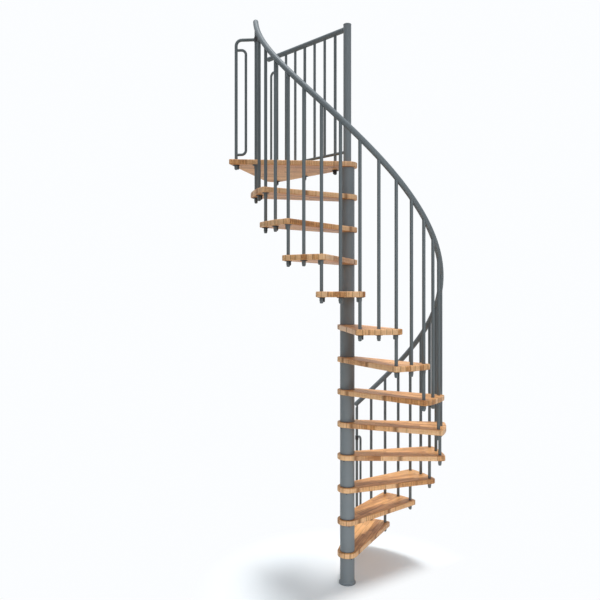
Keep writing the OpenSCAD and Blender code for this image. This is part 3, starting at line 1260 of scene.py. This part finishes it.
@dataclass
class Studio:
    """Pale floor, soft light and the camera."""

    floor_size: float = 60.0
    floor_near: Colour = (0.86, 0.83, 0.75)
    floor_far: Colour = (0.27, 0.25, 0.21)
    floor_shown: Colour = (0.90, 0.96, 1.0)
    floor_roughness: float = 0.9
    bounce_start: float = 0.8
    bounce_end: float = 3.0
    backdrop: Colour = (0.97, 0.985, 1.0)
    shade_haze: float = 0.06
    shade_start: float = 0.50
    shade_end: float = 1.12
    clear_side: Triple = (0.6, -0.8, 0.0)
    clear_start: float = 0.0
    clear_end: float = 0.28
    zenith: Colour = (0.62, 0.64, 0.66)
    horizon: Colour = (0.17, 0.18, 0.19)
    key_strength: float = 2.65
    key_softness: float = 14.0
    key_turn: Triple = (0.0, 0.0, 0.0)
    fill_strength: float = 0.22
    fill_softness: float = 60.0
    fill_turn: Triple = (75.0, 0.0, 25.0)
    boxes: tuple[SoftBox, ...] = (
        SoftBox("low_soft_box", 8.0, (1.4, 0.4), (0.1, -1.6, 0.1), (95.0, 0.0, 4.0)),
        SoftBox("front_soft_box", 11.0, (0.8, 0.8), (0.9, -2.4, 2.9), (86.0, 0.0, 16.0)),
    )
    camera_place: Triple = (-0.3218, -4.527, 2.075)
    image_px: float = 600.0
    focal_px: float = 623.9
    centre_px: Point = (302.95, 296.48)
    sensor_mm: float = 36.0

    @staticmethod
    def seen(bench: Bench) -> Wire:
        """1 for rays from the camera and for mirrored or refracted ones."""
        path = bench.node("ShaderNodeLightPath", out="Is Camera Ray")
        return path.most(path.other("Is Glossy Ray")).most(path.other("Is Transmission Ray"))

    def floor_material(self) -> bpy.types.Material:
        """Pale floor that fades into the backdrop away from the stair.

        Returns:
            The material. The rays that Studio.seen names get the shown colour, and light gets the bounce.
        """
        coat = Coating("studio_floor")
        place = coat.node("ShaderNodeTexCoord", out="Object")
        reach = coat.node("ShaderNodeVectorMath", {"operation": "LENGTH"}, {0: place}, "Value")
        sides = {0: place, 1: self.clear_side}
        aside = coat.node("ShaderNodeVectorMath", {"operation": "DOT_PRODUCT"}, sides, "Value")
        far = reach.fade(self.bounce_start, self.bounce_end)
        bounce = coat.blend(far, rgba(self.floor_near), rgba(self.floor_far))
        seen = self.seen(coat)
        paint = coat.blend(seen, bounce, rgba(self.floor_shown))
        matt = coat.surface({"Base Color": paint, "Roughness": self.floor_roughness})
        glow = coat.node("ShaderNodeEmission", sockets={"Color": rgba(self.backdrop)})
        open_side = aside.fade(self.clear_start, self.clear_end)
        bare = reach.fade(self.shade_start, self.shade_end).most(open_side).most(self.shade_haze)
        return coat.close(coat.node("ShaderNodeMixShader", sockets={0: bare * seen, 1: matt, 2: glow}))

    def build_floor(self) -> None:
        """Lays the floor."""
        bm = bmesh.new()
        bmesh.ops.create_grid(bm, x_segments=1, y_segments=1, size=self.floor_size / 2)
        mesh = mesh_from(bm, "studio_floor")
        mesh.materials.append(self.floor_material())
        floor = add_object("studio_floor", mesh)

    def build_sky(self) -> None:
        """Sets a sky that is bright overhead, and shows as the backdrop."""
        world = bpy.data.worlds.new("studio_sky")
        world.use_nodes = True
        bpy.context.scene.world = world
        bench = Bench(world.node_tree)
        world.node_tree.nodes.remove(world.node_tree.nodes["Background"])
        direction = bench.node("ShaderNodeTexCoord", out="Generated")
        height = bench.node("ShaderNodeSeparateXYZ", sockets={0: direction}, out="Z")
        dome = bench.blend(height.fade(0.0, 1.0), rgba(self.horizon), rgba(self.zenith))
        light = bench.node("ShaderNodeBackground", sockets={"Color": dome})
        shown = bench.node("ShaderNodeBackground", sockets={"Color": rgba(self.backdrop)})
        mixed = bench.node("ShaderNodeMixShader", sockets={0: self.seen(bench), 1: light, 2: shown})
        world.node_tree.links.new(mixed.socket, world.node_tree.nodes["World Output"].inputs["Surface"])

    @staticmethod
    def lamp(name: str, strength: float, softness: float, turn: Triple) -> None:
        """Adds a soft distant lamp.

        Args:
            name: Name of the lamp.
            strength: Light on a face square to it.
            softness: Width of the lamp as seen from the stair.
            turn: Turn about X, Y and Z of a lamp that shines straight down.
        """
        data = bpy.data.lights.new(name, "SUN")
        data.energy = strength
        data.angle = math.radians(softness)
        lamp = add_object(name, data)
        lamp.rotation_euler = [math.radians(a) for a in turn]

    def build_camera(self) -> None:
        """Sets the camera at the photograph's angle."""
        data = bpy.data.cameras.new("camera")
        data.sensor_width = self.sensor_mm
        data.lens = self.sensor_mm * self.focal_px / self.image_px
        data.shift_x = 0.5 - self.centre_px[0] / self.image_px
        data.shift_y = self.centre_px[1] / self.image_px - 0.5
        camera = add_object("camera", data)
        camera.location = self.camera_place
        camera.rotation_euler = (math.pi / 2, 0.0, 0.0)
        bpy.context.scene.camera = camera

    def build(self) -> None:
        """Makes the floor, the sky, the lamps and the camera."""
        self.build_floor()
        self.build_sky()
        self.lamp("key_lamp", self.key_strength, self.key_softness, self.key_turn)
        self.lamp("fill_lamp", self.fill_strength, self.fill_softness, self.fill_turn)
        for box in self.boxes:
            box.build()
        self.build_camera()
        bpy.context.scene.view_settings.view_transform = "Standard"


def main() -> None:
    """Builds the stair's pieces in order."""
    logging.basicConfig(level=logging.INFO, format="%(name)s %(message)s")
    plan = StairPlan()
    # Painted shade lines at the foot of each sleeve, one each rise, up to the landing.
    painted_shade_lines = {"shade_line_pitch": plan.rise, "shade_line_top": plan.landing_top}
    paints = {
        Slot.COLUMN: PowderCoat("column_grey", (0.188, 0.222, 0.249), **painted_shade_lines).material(),
        Slot.HANDRAIL: PowderCoat("handrail_grey", (0.137, 0.166, 0.186)).material(),
        Slot.BALUSTER: PowderCoat("baluster_grey", (0.126, 0.153, 0.169)).material(),
        Slot.BRACKET: PowderCoat("bracket_black", (0.028, 0.030, 0.033)).material(),
        Slot.WOOD: StaveWood("stave_wood", plan.wood_t).material(),
    }
    SteelWork(paints).dress()
    timber = TimberWork(plan, paints[Slot.WOOD])
    timber.build()
    Handrail(plan, paints[Slot.HANDRAIL]).build()
    Screws(plan, timber, paints[Slot.BRACKET]).build()
    Studio().build()


if __name__ == "__main__":
    main()
